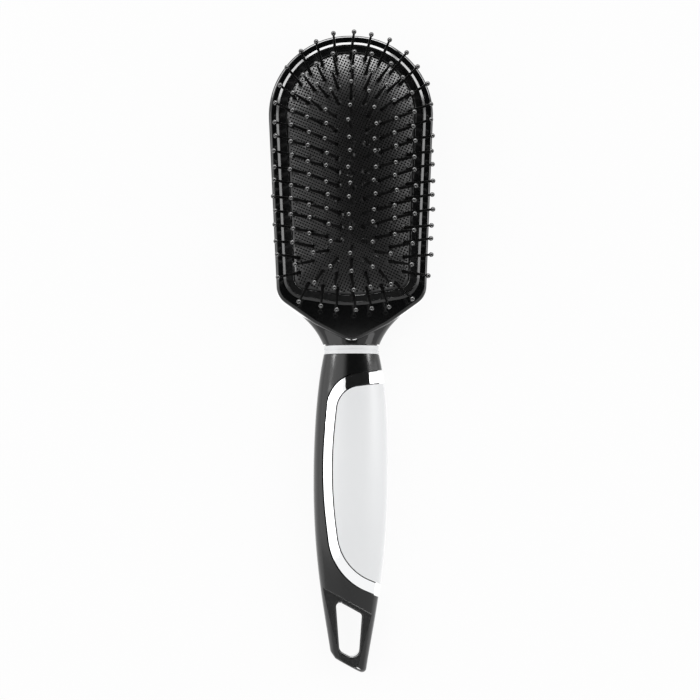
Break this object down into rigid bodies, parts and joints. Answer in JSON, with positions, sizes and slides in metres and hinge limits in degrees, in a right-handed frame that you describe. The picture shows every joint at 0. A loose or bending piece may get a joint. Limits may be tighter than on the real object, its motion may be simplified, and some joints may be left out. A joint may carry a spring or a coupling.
{
  "type": "cushion hair brush",
  "caption": "Oval cushion brush with ball-tipped pins on a domed air cushion, a collared neck and a handle with a framed grip panel and a slanted hang loop.",
  "frame": {"origin": "on the flat of the head's back, under the middle of the cushion", "axes": "+Y along the brush towards the top of the head, +Z out of the cushion along the pins, +X across"},
  "size_m": [0.0652, 0.2515, 0.0399],
  "materials": {
    "gloss_black": "polished black moulding",
    "gloss_white": "polished white moulding",
    "polished_chrome": "bright plating",
    "cushion_rubber": "black rubber with a fine net relief",
    "pin_nylon": "smooth black nylon",
    "plate_plastic": "plain moulded",
    "screw_steel": "zinc plated"
  },
  "bodies": {
    "brush": {"head_shell": "gloss_black", "cushion_frame": "gloss_black", "handle_front_shell": "gloss_black", "handle_back_shell": "gloss_black", "cushion_pad": "cushion_rubber", "cushion_base_plate": "plate_plastic", "neck_collar": "gloss_white", "grip_panel": "gloss_white", "grip_trim": "polished_chrome", "handle_screws": "screw_steel"},
    "centre_row": {"pins_centre_row": "pin_nylon"},
    "outer_ring": {"pins_outer_ring": "pin_nylon"},
    "second_ring": {"pins_second_ring": "pin_nylon"},
    "third_ring": {"pins_third_ring": "pin_nylon"},
    "fourth_ring": {"pins_fourth_ring": "pin_nylon"}
  },
  "joints": [
    {"name": "cushion_press", "type": "slide", "parent": "brush", "child": "centre_row", "axis": [0, 0, -1], "range_m": [0, 0.003], "stiffness_N_per_m": 3000, "deforming": ["cushion_pad"]},
    {"name": "outer_ring_press", "type": "slide", "parent": "brush", "child": "outer_ring", "axis": [0, 0, -1], "range_m": [0, 0.000495]},
    {"name": "second_ring_press", "type": "slide", "parent": "brush", "child": "second_ring", "axis": [0, 0, -1], "range_m": [0, 0.0016]},
    {"name": "third_ring_press", "type": "slide", "parent": "brush", "child": "third_ring", "axis": [0, 0, -1], "range_m": [0, 0.00239]},
    {"name": "fourth_ring_press", "type": "slide", "parent": "brush", "child": "fourth_ring", "axis": [0, 0, -1], "range_m": [0, 0.00286]}
  ],
  "couplings": [
    {"joint": "outer_ring_press", "follows": "cushion_press", "ratio": 0.15825},
    {"joint": "second_ring_press", "follows": "cushion_press", "ratio": 0.52652},
    {"joint": "third_ring_press", "follows": "cushion_press", "ratio": 0.78957},
    {"joint": "fourth_ring_press", "follows": "cushion_press", "ratio": 0.94739}
  ]
}
